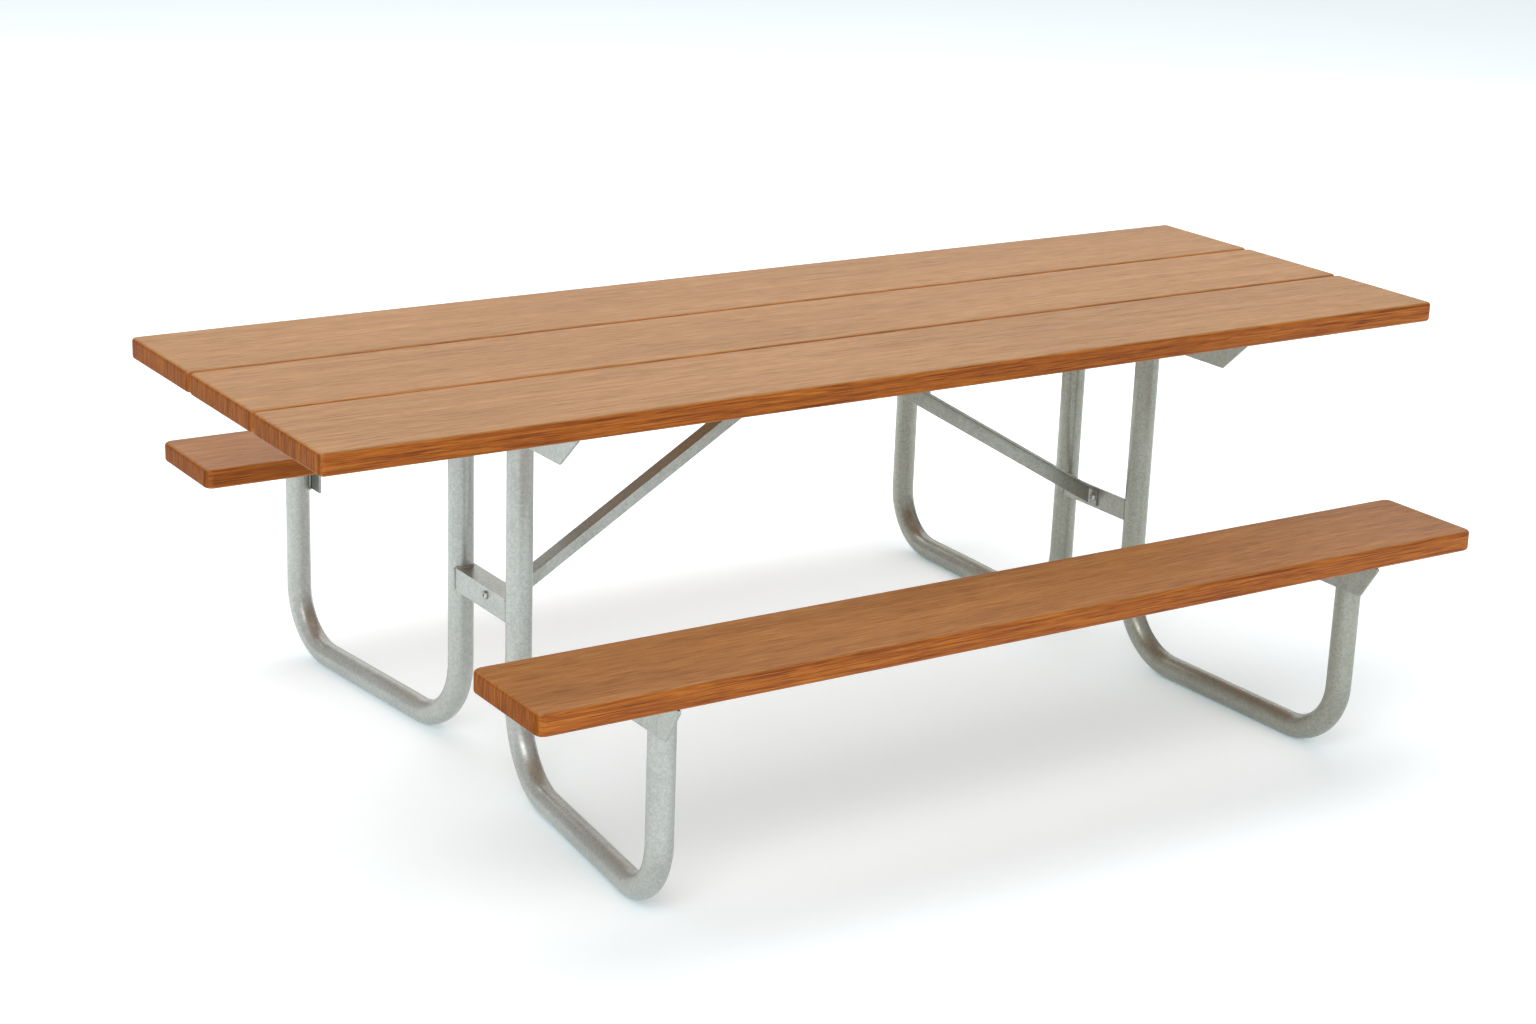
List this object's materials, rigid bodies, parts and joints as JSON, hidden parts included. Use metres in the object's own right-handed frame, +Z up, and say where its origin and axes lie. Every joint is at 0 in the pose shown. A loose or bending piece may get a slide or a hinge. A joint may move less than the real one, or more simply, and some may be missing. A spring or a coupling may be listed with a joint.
{
  "type": "picnic table",
  "caption": "Walk-through picnic table with plank top and attached plank benches on bent galvanised pipe end frames, tied by sloping angle braces.",
  "frame": {"origin": "on the ground, under the middle of the table top", "axes": "+X along the planks, +Y from the front bench to the rear bench, +Z up"},
  "size_m": [2.438, 1.638, 0.782],
  "materials": {
    "top_wood": "stained and sealed planks, light tan-orange top with fine lengthwise grain",
    "bench_wood": "stained and sealed planks, slightly darker and more saturated than the top",
    "pipe_steel": "hot-dip galvanised pipe, satin with faint mottling",
    "angle_steel": "hot-dip galvanised angle, satin with faint mottling",
    "fastener_steel": "zinc-plated fasteners"
  },
  "bodies": {
    "root": {"bench_angle_left_front": "angle_steel", "bench_angle_left_rear": "angle_steel", "bench_angle_right_front": "angle_steel", "bench_angle_right_rear": "angle_steel", "bench_plank_front": "bench_wood", "bench_plank_rear": "bench_wood", "bench_screw_left_front_1": "fastener_steel", "bench_screw_left_front_2": "fastener_steel", "bench_screw_left_rear_1": "fastener_steel", "bench_screw_left_rear_2": "fastener_steel", "bench_screw_right_front_1": "fastener_steel", "bench_screw_right_front_2": "fastener_steel", "bench_screw_right_rear_1": "fastener_steel", "bench_screw_right_rear_2": "fastener_steel", "brace_bolt_left": "fastener_steel", "brace_bolt_right": "fastener_steel", "brace_left": "angle_steel", "brace_nut_left": "fastener_steel", "brace_nut_right": "fastener_steel", "brace_right": "angle_steel", "brace_screw_left": "fastener_steel", "brace_screw_right": "fastener_steel", "centre_cleat": "angle_steel", "cleat_screw_1": "fastener_steel", "cleat_screw_2": "fastener_steel", "cleat_screw_3": "fastener_steel", "cleat_screw_4": "fastener_steel", "crosspiece_left": "angle_steel", "crosspiece_right": "angle_steel", "frame_pipe_left_front": "pipe_steel", "frame_pipe_left_rear": "pipe_steel", "frame_pipe_right_front": "pipe_steel", "frame_pipe_right_rear": "pipe_steel", "top_angle_left": "angle_steel", "top_angle_right": "angle_steel", "top_plank_front": "top_wood", "top_plank_middle": "top_wood", "top_plank_rear": "top_wood", "top_screw_left_1": "fastener_steel", "top_screw_left_2": "fastener_steel", "top_screw_left_3": "fastener_steel", "top_screw_left_4": "fastener_steel", "top_screw_left_5": "fastener_steel", "top_screw_left_6": "fastener_steel", "top_screw_right_1": "fastener_steel", "top_screw_right_2": "fastener_steel", "top_screw_right_3": "fastener_steel", "top_screw_right_4": "fastener_steel", "top_screw_right_5": "fastener_steel", "top_screw_right_6": "fastener_steel"}
  },
  "joints": []
}
